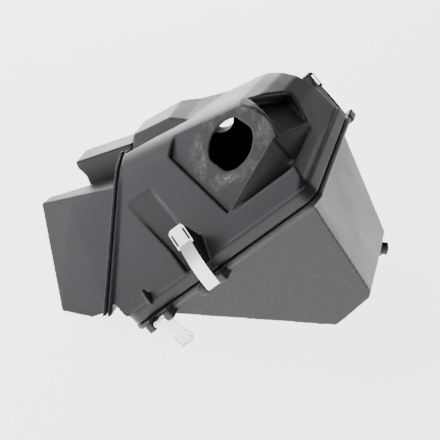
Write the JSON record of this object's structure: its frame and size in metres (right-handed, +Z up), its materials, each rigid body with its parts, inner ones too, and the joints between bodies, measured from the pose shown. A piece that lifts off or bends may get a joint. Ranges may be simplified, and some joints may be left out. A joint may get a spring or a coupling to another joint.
{
  "type": "air filter housing",
  "caption": "Tilted two-part plastic air filter housing with a panel filter, twin side duct, keyed front port, rear outlet sleeve and over-centre steel clips.",
  "frame": {"origin": "centre of the bounding box at the height of the rubber feet's undersides", "axes": "+Z up, +X to the right of the keyed front port's side, +Y to the back; the parting plane is tilted 42.5 degrees about Y and rises to the right"},
  "size_m": [0.4034, 0.272, 0.2416],
  "materials": {
    "cover_plastic": "fine-textured black polypropylene",
    "housing_plastic": "fine-textured black polypropylene, a little lighter",
    "duct_plastic": "fine-textured black polypropylene",
    "seal_rubber": "matt black rubber",
    "zinc_steel": "bright zinc plate",
    "clip_steel": "bright zinc-plated spring steel",
    "filter_frame_plastic": "moulded orange plastic",
    "filter_paper": "resin-treated pleated paper",
    "filter_grid_steel": "woven wire"
  },
  "bodies": {
    "housing": {"lower_housing": "housing_plastic", "clip_pins": "zinc_steel", "mount_bushes": "seal_rubber", "mount_sleeves": "zinc_steel", "drain_valve": "seal_rubber", "side_grommet": "seal_rubber"},
    "cover": {"upper_cover": "cover_plastic", "twin_duct": "duct_plastic", "duct_seal": "seal_rubber", "duct_screws": "zinc_steel", "outlet_collar": "seal_rubber"},
    "filter": {"filter_frame": "filter_frame_plastic", "filter_seal": "seal_rubber", "filter_media": "filter_paper", "filter_mesh": "filter_grid_steel"},
    "front_latch": {"front_clip": "clip_steel"},
    "corner_latch": {"corner_clip": "clip_steel"},
    "rear_right_latch": {"rear_right_clip": "clip_steel"},
    "rear_left_latch": {"rear_left_clip": "clip_steel"}
  },
  "joints": [
    {"name": "cover_lift", "type": "slide", "parent": "housing", "child": "cover", "axis": [-0.6756, 0, 0.7373], "range_m": [0, 0.08]},
    {"name": "filter_lift", "type": "slide", "parent": "housing", "child": "filter", "axis": [-0.6756, 0, 0.7373], "range_m": [0, 0.04]},
    {"name": "front_clip_swing", "type": "hinge", "parent": "housing", "child": "front_latch", "pos_m": [0.04238, -0.13199, 0.09075], "axis": [0.7373, 0, 0.6756], "range_deg": [0, 150]},
    {"name": "rear_right_clip_swing", "type": "hinge", "parent": "housing", "child": "rear_right_latch", "pos_m": [0.13307, 0.13021, 0.17385], "axis": [-0.7373, 0, -0.6756], "range_deg": [0, 150]},
    {"name": "rear_left_clip_swing", "type": "hinge", "parent": "housing", "child": "rear_left_latch", "pos_m": [0.00847, 0.13021, 0.05967], "axis": [-0.7373, 0, -0.6756], "range_deg": [0, 150]},
    {"name": "corner_clip_swing", "type": "hinge", "parent": "housing", "child": "corner_latch", "pos_m": [-0.01365, -0.13199, 0.03941], "axis": [0.7373, 0, 0.6756], "range_deg": [-213, 0]}
  ],
  "couplings": [
    {"joint": "filter_lift", "follows": "cover_lift", "ratio": 0.5},
    {"joint": "front_clip_swing", "follows": "cover_lift", "rad_per_m": 32.7},
    {"joint": "rear_right_clip_swing", "follows": "cover_lift", "rad_per_m": 32.7},
    {"joint": "rear_left_clip_swing", "follows": "cover_lift", "rad_per_m": 32.7}
  ]
}
